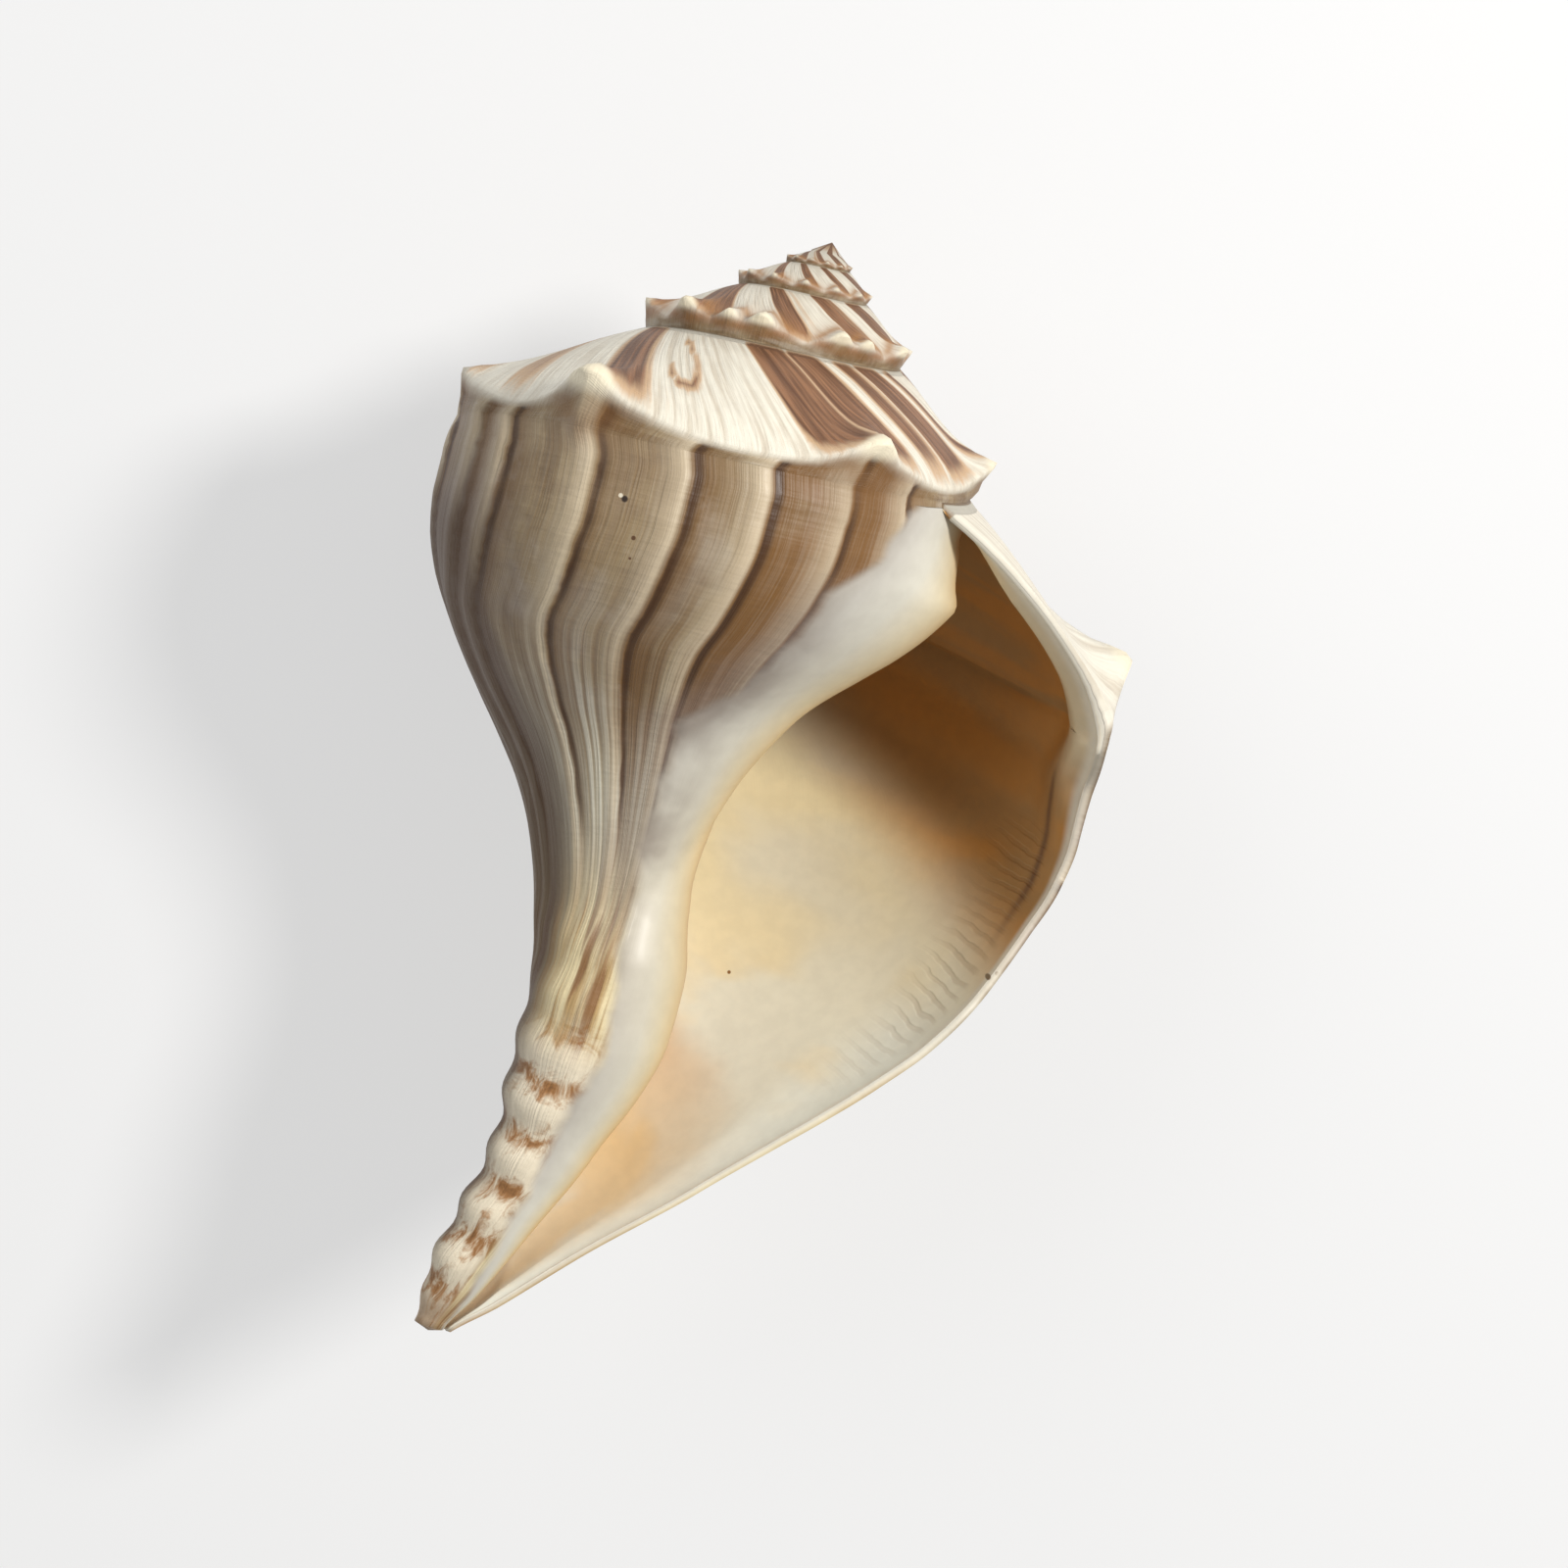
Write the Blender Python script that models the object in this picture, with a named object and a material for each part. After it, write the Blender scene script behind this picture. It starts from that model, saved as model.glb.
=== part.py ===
"""A knobbed whelk shell, the kind often sold as a conch, lying on its back with its mouth up.

The shell is one closed body. Its wall is a helical sheet that grows by the same ratio each turn, and
the last turn runs on down into the canal. The hollow of the last turn is open at the mouth.

An angle is in degrees round the axis and counts on from turn to turn: 360 is the edge of the lip, 90 is
the side that faces up, and each 360 less is one turn earlier. A depth is measured down the axis from
the apex. Both, with a radius, give every point of the shell.
"""

import math

import bmesh
import bpy
import numpy as np
from mathutils import Euler

MM = 0.001

# Size and growth, in millimetres and degrees
LENGTH = 170.0
GROWTH_PER_TURN = 2.0
TURNS = 4.4
SECTIONS_PER_TURN = 50
SECTION_STEP = 360.0 / SECTIONS_PER_TURN
LIP_ANGLE = 358.0

# The whorl's outline at the lip, as (depth, radius): the slope from suture to shoulder, then the side
SLOPE = (
    (29.25, 30.5), (33.0, 36.6), (38.0, 43.6), (43.6, 50.4),
    (49.4, 56.3), (55.0, 60.0), (57.0, 60.8), (58.5, 61.0),
)
SHOULDER_ROW = 5
SIDE = (
    (58.5, 61.0), (66.0, 62.2), (74.0, 62.2), (81.0, 61.0), (89.0, 57.8),
    (98.5, 52.0), (108.0, 44.2), (115.0, 37.4), (122.0, 31.0), (128.0, 26.6),
    (140.0, 19.6), (151.0, 13.4), (163.5, 6.8), (172.0, 2.4), (190.0, 0.0),
)
SIDE_ROWS = 17
FIRST_SIDE_ROW = 0.02

# The column round the axis, and how far the axis itself bends sideways, as (depth, value)
COLUMN = (
    (0.0, 0.8), (40.0, 4.0), (70.0, 6.2), (90.0, 6.4), (101.0, 7.8), (110.0, 9.9), (120.0, 10.3),
    (128.0, 9.2), (138.0, 6.8), (147.0, 5.5), (155.0, 4.6), (164.0, 3.2), (170.0, 0.9),
)
BEND = (
    (0.0, 0.0), (36.0, -0.3), (64.0, 1.1), (93.0, 2.9),
    (119.0, 3.7), (139.0, 2.1), (154.0, -1.7), (170.0, -5.9),
)
CANAL_TOP = 125.0
LIP_FLARE = 3.2
LIP_FLARE_DEPTH = 120.0
LIP_FLARE_WIDTH = 20.0

# How far the growing edge runs ahead of the shoulder: on the slope, and down the side
SUTURE_LEAD_SECTIONS = 5
SIDE_LEAD = ((0.0, 0.0), (0.07, -6.0), (0.25, -5.0), (0.42, 3.0), (0.6, 6.0), (1.0, 6.0))

# Knobs on the shoulder as (sections back from the lip, size), then small ones close together up the spire
KNOBS = (
    (2, 1.1), (8, 1.5), (17, 2.3), (25, 0.65), (32, 1.3), (41, 1.25),
    (49, 1.0), (56, 0.9), (62, 0.9), (67, 0.85), (71, 0.9), (75, 0.9),
    (80, 1.2), (83, 1.0), (85, 1.3), (90, 1.3), (92, 1.1), (96, 1.2),
)
SPIRE_KNOB_SPACING = 4
SPIRE_KNOB_SIZE = 0.9
KNOB_OUT = 6.1
KNOB_UP = 9.0
KNOB_WIDTH = 8.5
KNOB_SHAPE = 1.25
KNOB_ARM = 0.62
KNOB_ARM_LENGTH = 17.0

# How much of a knob the two rows above the shoulder and the one below it share, and how it fades below
KNOB_SHARES = {SHOULDER_ROW - 2: 0.14, SHOULDER_ROW - 1: 0.48, SHOULDER_ROW: 1.0, SHOULDER_ROW + 1: 0.5}
KNOB_FADE = 0.45
KNOB_FADE_LENGTH = 9.0
KNOB_UP_LIMIT = 1.0

# The growth pleats down the side and the lumps of the ridge along the canal
PLEAT_SPACING = 3 * SECTION_STEP
PLEAT_HEIGHT = 0.5
PLEAT_RISE = 0.6
RIDGE_TOP = 100.0
RIDGE_FULL = 138.0
RIDGE_ANGLE = 138.0
RIDGE_HALF_WIDTH = 52.0
RIDGE_HEIGHT = 1.5
LUMP_SPACING = 8.5
LUMP_HEIGHT = 0.6
LUMP_SLANT = 0.02

# The pad of glaze on the wall beside the mouth, as (depth, thickness), and the angles over which it fades
PAD = (
    (36.0, 0.0), (42.0, 2.1), (46.0, 4.6), (52.0, 4.6), (60.0, 4.2),
    (69.0, 2.3), (77.0, 1.6), (86.0, 1.1), (96.0, 0.0),
)
PAD_BEFORE = (48.0, 10.0)
PAD_BEHIND = (-15.0, -70.0)

# The wall and the hollow
WALL = 2.2
LIP_WALL = 1.2
HOLLOW_START = 62.0
NARROWEST_HOLLOW = 2.4
LIP_THINS_FROM = 0.85
HOLLOW_STEPS = 40
TIP_BEYOND = 0.8

# Lying on its back: the turns from the upright modelling frame to rest
REST_PITCH = -5.498
REST_ROLL = -4.116


def smooth_step(x, low, high):
    t = np.clip((x - low) / (high - low), 0.0, 1.0)
    return t * t * (3.0 - 2.0 * t)


def curve(x, knots):
    """A smooth curve through the knots that never overshoots them, at x."""
    at, value = np.array(knots, float).T
    step = np.diff(at)
    slope = np.diff(value) / step
    tangent = np.concatenate(([slope[0]], np.zeros(len(at) - 2), [slope[-1]]))
    same_way = slope[:-1] * slope[1:] > 0
    tangent[1:-1][same_way] = 2.0 / (1.0 / slope[:-1][same_way] + 1.0 / slope[1:][same_way])
    x = np.clip(x, at[0], at[-1])
    k = np.clip(np.searchsorted(at, x, side="right") - 1, 0, len(step) - 1)
    t = (x - at[k]) / step[k]
    rise = value[k] * (1 + 2 * t) * (1 - t) ** 2 + value[k + 1] * t * t * (3 - 2 * t)
    return rise + step[k] * t * (1 - t) * (tangent[k] * (1 - t) - tangent[k + 1] * t)


def growth(angle):
    """The size of the whorl at an angle, against its size at the lip."""
    return GROWTH_PER_TURN ** (angle / 360.0 - 1.0)


def side_radius(angle, depth):
    """The radius of the side, base and canal at a depth."""
    size = growth(angle)
    in_canal = np.clip((depth - CANAL_TOP) / (LENGTH - CANAL_TOP), 0.0, 1.0)
    on_outline = depth / size ** (1.0 - in_canal)
    at_flare = np.exp(-(((on_outline - LIP_FLARE_DEPTH) / LIP_FLARE_WIDTH) ** 2))
    flare = LIP_FLARE * smooth_step(angle, 250.0, 360.0) * at_flare
    whorl = size * (curve(on_outline, SIDE) + flare)
    column = curve(depth, COLUMN) * smooth_step(on_outline, 60.0, 90.0)
    return np.hypot(whorl, column)


def all_knobs():
    """Where the knobs stand and how large they are, from the lip back to the apex."""
    first = KNOBS[-1][0] + SPIRE_KNOB_SPACING
    small = range(first, int(TURNS * SECTIONS_PER_TURN), SPIRE_KNOB_SPACING)
    sections, sizes = np.array(KNOBS + tuple((section, SPIRE_KNOB_SIZE) for section in small)).T
    return LIP_ANGLE - SECTION_STEP * sections, sizes


def knob_height(angle):
    """How large a knob is at an angle: full on the tip, with a lower arm back along the shoulder."""
    angles, sizes = all_knobs()
    ahead = np.subtract.outer(np.asarray(angle, float), angles)
    width = KNOB_WIDTH * np.sqrt(np.minimum(sizes, 1.0))
    tip = sizes * np.exp(-((np.abs(ahead) / width) ** KNOB_SHAPE))
    arm_width = np.where(ahead > 0.0, KNOB_WIDTH, KNOB_ARM_LENGTH)
    arm = KNOB_ARM * np.minimum(sizes, 1.0) * np.exp(-((ahead / arm_width) ** 2))
    return np.maximum(tip, arm).max(axis=-1)


def pleat_height(angle, depth):
    """The growth pleats: a slow rise and a quick fall, fading out down the canal."""
    phase = (angle / PLEAT_SPACING) % 1.0
    on_outline = depth / growth(angle)
    fade = smooth_step(on_outline, 60.0, 74.0) * (1.0 - smooth_step(on_outline, 122.0, 150.0))
    shape = np.minimum(phase / PLEAT_RISE, (1.0 - phase) / (1.0 - PLEAT_RISE))
    return PLEAT_HEIGHT * fade * smooth_step(angle, 60.0, 95.0) * shape


def ridge_height(angle, depth):
    """The lumpy ridge that old canal edges leave along the left of the canal."""
    across = np.exp(-(((angle - RIDGE_ANGLE) / RIDGE_HALF_WIDTH) ** 4))
    tip_fade = 1.0 - smooth_step(depth, LENGTH - 9.0, LENGTH)
    along = smooth_step(depth, RIDGE_TOP, RIDGE_FULL) * tip_fade
    lumps = LUMP_HEIGHT * np.cos(2.0 * math.pi * (depth + LUMP_SLANT * angle) / LUMP_SPACING)
    return across * along * (RIDGE_HEIGHT + lumps)


def pad_height(angle, depth):
    """The thickness of the glaze's pad, full at the inner lip and thin before and behind it."""
    before = smooth_step(-angle, -PAD_BEFORE[0], -PAD_BEFORE[1])
    behind = smooth_step(-angle, -PAD_BEHIND[0], -PAD_BEHIND[1])
    return curve(depth, PAD) * before * (1.0 - behind)


def place(angle, depth, radius):
    """The point at an angle, depth and radius, in metres, with the mouth facing +Z and the apex +Y."""
    turn = np.radians(angle)
    x = radius * np.cos(turn) + curve(depth, BEND)
    return np.stack(np.broadcast_arrays(x, -depth, radius * np.sin(turn)), axis=-1) * MM


def side_share(row):
    """How far down the side a row is, from 0 at the lower suture to 1 at the tip of the canal."""
    if row == len(SLOPE) - 1:
        return 0.0
    return FIRST_SIDE_ROW + (1.0 - FIRST_SIDE_ROW) * (row - len(SLOPE)) / (SIDE_ROWS - 1)


def lead(row):
    """How far in degrees a row runs ahead of the shoulder along one growth line."""
    if row <= SHOULDER_ROW:
        return SUTURE_LEAD_SECTIONS * SECTION_STEP * (1.0 - row / SHOULDER_ROW) ** 1.5
    if row < len(SLOPE):
        return 0.0
    return float(curve(side_share(row), SIDE_LEAD))


def bare_outline(angle, row):
    """Depth and radius of the smooth outside at an angle and row."""
    size = growth(angle)
    if row < len(SLOPE):
        return size * SLOPE[row][0], size * SLOPE[row][1]
    top = size * SLOPE[-1][0]
    depth = top + (LENGTH - top) * side_share(row)
    return depth, side_radius(angle, depth)


def outside(angle, row):
    """A point of the outside, with its knobs, pleats and ridge."""
    size = growth(angle)
    depth, radius = bare_outline(angle, row)
    share = KNOB_SHARES.get(row, 0.0)
    if row > SHOULDER_ROW + 1:
        below = depth / size - SLOPE[SHOULDER_ROW][0]
        share = KNOB_FADE * np.exp(-below / KNOB_FADE_LENGTH) * smooth_step(angle, 0.0, 40.0)
    knob = share * knob_height(angle)
    radius = radius + KNOB_OUT * size * knob
    if row <= SHOULDER_ROW + 1:
        depth = depth - KNOB_UP * size * np.minimum(knob, KNOB_UP_LIMIT)
    if row >= len(SLOPE) - 1:
        relief = pleat_height(angle, depth) + ridge_height(angle, depth)
        radius = radius + relief + pad_height(angle, depth)
    return place(angle, depth, radius)


def inside(angle, row, wall):
    """A point of the hollow's outer wall, one wall's thickness in from the smooth outside."""
    last = len(SLOPE) - 1 + SIDE_ROWS
    above, below = bare_outline(angle, max(row - 1, 0)), bare_outline(angle, min(row + 1, last))
    down, out = below[0] - above[0], below[1] - above[1]
    long = np.hypot(down, out)
    depth, radius = bare_outline(angle, row)
    core = side_radius(angle - 360.0, depth) if row >= len(SLOPE) else 0.0
    wall = np.minimum(wall, 0.5 * (radius - core)) if row >= len(SLOPE) else wall
    square_on = 1.0 - smooth_step(depth, 120.0, 150.0)
    depth = depth + wall * out / long * square_on
    radius = radius - wall * np.hypot(down / long, out / long * (1.0 - square_on))
    return place(angle, np.minimum(depth, LENGTH), radius)


def hollow_start(row):
    """The angle at which the hollow begins in a row: where the whorl first stands clear of the column."""
    angles = np.arange(HOLLOW_START, LIP_ANGLE - 60.0, 1.0)
    if row < len(SLOPE):
        return HOLLOW_START
    depth, radius = bare_outline(angles, row)
    shut = np.nonzero(radius - side_radius(angles - 360.0, depth) < NARROWEST_HOLLOW)[0]
    return angles[min(shut[-1] + 1, len(angles) - 1)] if len(shut) else HOLLOW_START


class Body:
    """Vertices and faces of the shell, gathered sheet by sheet."""

    def __init__(self):
        self.points = []
        self.faces = []

    def add(self, points):
        """Adds points and returns their numbers."""
        first = len(self.points)
        self.points.extend(tuple(p) for p in points)
        return list(range(first, len(self.points)))

    def sheet(self, rows):
        """Faces between neighbouring rows of vertex numbers; rows hold as many vertices each."""
        for upper, lower in zip(rows[:-1], rows[1:]):
            for k in range(len(upper) - 1):
                face = [upper[k], upper[k + 1], lower[k + 1], lower[k]]
                face = [v for n, v in enumerate(face) if v not in face[:n]]
                if len(face) > 2:
                    self.faces.append(face)

    def zip(self, left, right):
        """Triangles between two chains that may hold different numbers of vertices."""
        a = b = 0
        while a < len(left) - 1 or b < len(right) - 1:
            left_is_behind = (a + 1) * (len(right) - 1) <= (b + 1) * (len(left) - 1)
            on_left = b == len(right) - 1 or (a < len(left) - 1 and left_is_behind)
            face = [left[a], right[b], left[a + 1] if on_left else right[b + 1]]
            if len(set(face)) == 3:
                self.faces.append(face)
            a, b = (a + 1, b) if on_left else (a, b + 1)

    def fan(self, centre, ring):
        """Triangles from one vertex to each edge of a chain."""
        for here, there in zip(ring[:-1], ring[1:]):
            self.faces.append([centre, here, there])


def shell_body():
    """All of the shell's surface, as one closed body."""
    body = Body()
    suture = len(SLOPE) - 1
    last = suture + SIDE_ROWS
    count = round(TURNS * SECTIONS_PER_TURN)
    shift = SECTIONS_PER_TURN - SUTURE_LEAD_SECTIONS
    angles = LIP_ANGLE - SECTION_STEP * np.arange(count, -1, -1)
    bared = count - shift  # the section from which the side is no longer covered by the next turn

    # The outside: rows from suture to suture on every turn, and on down to the tip on the last
    grid = {}
    for row in range(last + 1):
        first = 0 if row <= suture else bared
        found = body.add(outside(angles[first:] + lead(row), row))
        grid[row] = dict(zip(range(first, count + 1), found))
    for section in range(shift, count + 1):
        grid[0][section] = grid[suture][section - shift]
    for row in range(last):
        first = 0 if row < suture else bared
        span = range(first, count + 1)
        body.sheet([[grid[row][s] for s in span], [grid[row + 1][s] for s in span]])

    # The hollow: its outer wall, and its inner wall on the turn before and on the column
    share = np.linspace(0.0, 1.0, HOLLOW_STEPS + 1)
    starts = np.maximum.accumulate([hollow_start(row) for row in range(last + 1)])
    inner = {}
    for row in range(suture + 1, last + 1):
        stop = angles[bared] + lead(row)
        turned = starts[row] - 360.0
        inner[row] = body.add(outside(turned + (stop - turned) * share[:-1], row)) + [grid[row][bared]]
    outer = {0: inner[suture + 1]}
    for row in range(1, last + 1):
        stop = LIP_ANGLE + lead(row)
        wall = WALL + (LIP_WALL - WALL) * smooth_step(share, LIP_THINS_FROM, 1.0)
        outer[row] = body.add(inside(starts[row] + (stop - starts[row]) * share, row, wall))
    body.sheet([inner[row] for row in range(suture + 1, last + 1)])
    body.sheet([outer[row] for row in range(last + 1)])

    # The edge of the lip, and the far end of the hollow
    edge = [grid[row][count] for row in range(last + 1)]
    body.sheet([edge, [outer[row][-1] for row in range(last + 1)]])
    far_end = [inner[row][0] for row in range(suture + 1, last + 1)]
    body.zip([outer[row][0] for row in range(last + 1)], far_end)

    # The tip of the canal
    tip = body.add([place(0.0, LENGTH + TIP_BEYOND, 0.0)])[0]
    rim = [grid[last][s] for s in range(bared, count + 1)]
    meets = int(round((starts[last] - angles[bared] - lead(last)) / SECTION_STEP))
    body.fan(tip, inner[last][:-1] + rim[: meets + 1] + [outer[last][0], inner[last][0]])
    body.zip(rim[meets:], outer[last])

    # The apex
    apex = body.add([place(0.0, 0.25 * growth(angles[0]) * SLOPE[0][0], 0.0)])[0]
    first_turn = [grid[0][s] for s in range(shift + 1)]
    body.fan(apex, first_turn + [grid[row][0] for row in range(suture - 1, -1, -1)])
    return body


def shell_material():
    material = bpy.data.materials.new("shell")
    material.use_nodes = True
    shader = material.node_tree.nodes["Principled BSDF"]
    shader.inputs["Base Color"].default_value = (0.62, 0.53, 0.42, 1.0)
    shader.inputs["Roughness"].default_value = 0.35
    shader.inputs["Metallic"].default_value = 0.0
    return material


def rest_on_back(points):
    """The points turned to the resting pose, lowest point at zero height and centred over the origin."""
    turn = Euler((math.radians(REST_PITCH), math.radians(REST_ROLL), 0.0)).to_matrix()
    points = points @ np.array(turn).T
    low, high = points.min(axis=0), points.max(axis=0)
    return points - ((low[0] + high[0]) / 2, (low[1] + high[1]) / 2, low[2])


def make_shell():
    body = shell_body()
    points = rest_on_back(np.array(body.points))
    used = sorted({v for face in body.faces for v in face})
    number = {v: n for n, v in enumerate(used)}
    mesh = bpy.data.meshes.new("whelk_shell")
    mesh.from_pydata(points[used].tolist(), [], [[number[v] for v in face] for face in body.faces])
    surface = bmesh.new()
    surface.from_mesh(mesh)
    bmesh.ops.triangulate(surface, faces=surface.faces)
    bmesh.ops.recalc_face_normals(surface, faces=surface.faces)
    surface.to_mesh(mesh)
    surface.free()
    mesh.materials.append(shell_material())
    mesh.shade_smooth()
    shell = bpy.data.objects.new("whelk_shell", mesh)
    collection = bpy.data.collections.new("conch_shell")
    bpy.context.scene.collection.children.link(collection)
    collection.objects.link(shell)
    return shell


def main():
    for thing in list(bpy.data.objects):
        bpy.data.objects.remove(thing, do_unlink=True)
    make_shell()


main()
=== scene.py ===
"""A knobbed whelk shell on a pale floor, seen from above, with its mouth up.

The shell has the same growth as the CAD: a helical wall that doubles in size each turn. An angle is in
degrees round the axis and counts on from turn to turn: 360 is the edge of the lip, 90 is the side that
faces up, and each 360 less is one turn earlier. A depth is in millimetres down the axis from the apex.

"along" says where a point is on the whorl's outline: 0 to 1 runs down the slope from the suture past the
shoulder, and 1 to 2 runs down the side to the tip of the canal. A growth line is named by its angle at
the shoulder.
"""

import math
from types import SimpleNamespace

import bpy
import numpy as np
from mathutils import Euler, Matrix, Vector


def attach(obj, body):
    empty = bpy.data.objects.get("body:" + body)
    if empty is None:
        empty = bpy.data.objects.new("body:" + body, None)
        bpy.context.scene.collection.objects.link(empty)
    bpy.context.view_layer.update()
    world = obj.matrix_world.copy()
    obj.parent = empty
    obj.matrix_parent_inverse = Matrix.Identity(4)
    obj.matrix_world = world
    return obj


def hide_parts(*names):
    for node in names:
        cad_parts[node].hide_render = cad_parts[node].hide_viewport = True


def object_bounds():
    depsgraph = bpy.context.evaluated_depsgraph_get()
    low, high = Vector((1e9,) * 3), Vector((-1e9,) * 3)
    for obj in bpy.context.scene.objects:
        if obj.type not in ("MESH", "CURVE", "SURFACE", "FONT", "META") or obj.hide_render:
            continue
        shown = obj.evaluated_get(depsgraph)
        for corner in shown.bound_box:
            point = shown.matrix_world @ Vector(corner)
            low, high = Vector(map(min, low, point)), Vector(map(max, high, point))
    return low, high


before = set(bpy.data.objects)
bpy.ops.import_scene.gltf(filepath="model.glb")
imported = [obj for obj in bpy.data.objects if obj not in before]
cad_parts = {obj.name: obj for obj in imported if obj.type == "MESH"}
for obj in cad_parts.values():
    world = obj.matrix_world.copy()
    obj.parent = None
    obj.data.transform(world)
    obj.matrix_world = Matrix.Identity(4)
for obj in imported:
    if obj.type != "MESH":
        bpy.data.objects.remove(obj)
cad_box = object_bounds()

MM = 0.001
INSET = 0.00002  # how far the surface keeps inside the CAD's box, in metres

# Size and growth, in millimetres and degrees
LENGTH = 170.0
GROWTH_PER_TURN = 2.0
TURNS = 4.4
SECTIONS_PER_TURN = 200
SECTION_STEP = 360.0 / SECTIONS_PER_TURN
LIP_ANGLE = 358.0

# The whorl's outline at the lip, as (depth, radius), and how many rows of vertices each part has
SLOPE = (
    (29.25, 30.5), (33.0, 36.6), (38.0, 43.6), (43.6, 50.4),
    (49.4, 56.3), (55.0, 60.0), (57.0, 60.8), (58.5, 61.0),
)
SIDE = (
    (58.5, 61.0), (66.0, 62.2), (74.0, 62.2), (81.0, 61.0), (89.0, 57.8),
    (98.5, 52.0), (108.0, 44.2), (115.0, 37.4), (122.0, 31.0), (128.0, 26.6),
    (140.0, 19.6), (151.0, 13.4), (163.5, 6.8), (172.0, 2.4), (190.0, 0.0),
)
SHOULDER_ROW = 5
SUTURE_ROW = len(SLOPE) - 1
SLOPE_ROWS = 21
SIDE_ROWS = 140

# The column round the axis, and how far the axis itself bends sideways, as (depth, value)
COLUMN = (
    (0.0, 0.8), (40.0, 4.0), (70.0, 6.2), (90.0, 6.4), (101.0, 7.8), (110.0, 9.9), (120.0, 10.3),
    (128.0, 9.2), (138.0, 6.8), (147.0, 5.5), (155.0, 4.6), (164.0, 3.2), (170.0, 0.9),
)
BEND = (
    (0.0, 0.0), (36.0, -0.3), (64.0, 1.1), (93.0, 2.9),
    (119.0, 3.7), (139.0, 2.1), (154.0, -1.7), (170.0, -5.9),
)
CANAL_TOP = 125.0
LIP_FLARE = 3.2
LIP_FLARE_DEPTH = 120.0
LIP_FLARE_WIDTH = 20.0

# How far the growing edge runs ahead of the shoulder: on the slope, and down the side
SUTURE_LEAD = 36.0
SIDE_LEAD = ((0.0, 0.0), (0.07, -6.0), (0.25, -5.0), (0.42, 3.0), (0.6, 6.0), (1.0, 6.0))

# Knobs on the shoulder as (degrees back from the lip, size), then small ones up the spire, and how much of
# a knob each row of the slope's outline shares
KNOBS = (
    (14.4, 1.1), (57.6, 1.5), (122.4, 2.3), (180.0, 0.65), (230.4, 1.3), (295.2, 1.25),
    (352.8, 1.0), (403.2, 0.9), (446.4, 0.9), (482.4, 0.85), (511.2, 0.9), (540.0, 0.9),
    (576.0, 1.2), (597.6, 1.0), (612.0, 1.3), (648.0, 1.3), (662.4, 1.1), (691.2, 1.2),
)
SPIRE_KNOB_SPACING = 28.8
SPIRE_KNOB_SIZE = 0.9
KNOB_OUT = 6.1
KNOB_UP = 9.0
KNOB_UP_LIMIT = 1.0
KNOB_WIDTH = 8.5
KNOB_SHAPE = 1.25
KNOB_ARM = 0.62
KNOB_ARM_LENGTH = 17.0
KNOB_SHARES = ((0, 0.0), (2, 0.02), (3, 0.14), (4, 0.48), (5, 1.0), (6, 0.5), (7, 0.3))
KNOB_FADE = 0.45
KNOB_FADE_LENGTH = 9.0

# Rests in the growth of the last turn, by their growth lines, with the height of the steps they leave
GROWTH_STOPS = (
    47.0, 64.0, 83.0, 101.0, 122.0, 147.0, 158.0, 177.0, 196.0,
    214.0, 233.0, 251.0, 268.0, 287.0, 305.0, 324.0, 341.0,
)
STOP_HEIGHT = 1.2
STOP_STRENGTHS = (1.0, 0.75, 0.9)
WELT = 0.55
WELT_AHEAD = 3.0
WELT_WIDTH = 2.4
GROOVE_LENGTH = 6.5

# How each rest is coloured, as (degrees from the rest, level), and how strongly
DARK_MARK = ((-11.5, 0.0), (-6.0, 0.3), (-3.0, 0.55), (-1.4, 0.95), (-0.4, 1.0), (0.5, 0.0))
PALE_MARK = ((0.2, 0.0), (1.3, 1.0), (4.0, 0.6), (9.0, 0.0))
STOP_LEVELS = (0.95, 0.9, 1.0, 1.0, 1.0, 0.95, 0.65, 1.0, 0.8)
STOPS_PER_RAMP = 4
RAMP_MARGIN = 12.0

# How far the growth lines sway back down the side, as (share of the side, degrees)
STOP_SWAY = (
    (0.0, 2.0), (0.03, -0.5), (0.08, -0.8), (0.125, 1.2), (0.17, 4.8),
    (0.21, 9.8), (0.26, 12.8), (0.3, 14.5), (0.6, 17.0), (1.0, 17.0),
)

# The lumpy ridge that old canal edges leave along the left of the canal
RIDGE_TOP = 100.0
RIDGE_FULL = 138.0
RIDGE_ANGLE = 138.0
RIDGE_HALF_WIDTH = 52.0
RIDGE_HEIGHT = 1.5
LUMP_SPACING = 8.5
LUMP_HEIGHT = 0.6
LUMP_SLANT = 0.02

# The pad of glaze on the wall beside the mouth, as (depth, thickness), and the angles over which it fades
PAD = (
    (36.0, 0.0), (42.0, 2.1), (46.0, 4.6), (52.0, 4.6), (60.0, 4.2),
    (69.0, 2.3), (77.0, 1.6), (86.0, 1.1), (96.0, 0.0),
)
PAD_BEFORE = (48.0, 10.0)
PAD_BEHIND = (-15.0, -70.0)

# The wall and the hollow, and the roll that thickens the wall just inside the upper lip
WALL = 2.2
LIP_WALL = 1.2
HOLLOW_START = 62.0
NARROWEST_HOLLOW = 2.4
LIP_THINS_FROM = 0.85
HOLLOW_STEPS = 130
LIP_DETAIL = 1.5
INNER_STEPS = 90
TIP_BEYOND = 0.8
LIP_ROLL = 2.6
ROLL_FROM_LIP = (0.0, 4.5, 6.0, 16.0)
ROLL_ALONG = (0.05, 0.3, 1.0, 1.25)

# Lying on its back, as the CAD does
REST_PITCH = -5.498
REST_ROLL = -4.116
REST_SHIFT = (8.6145, -85.1788, -46.6528)

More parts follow.
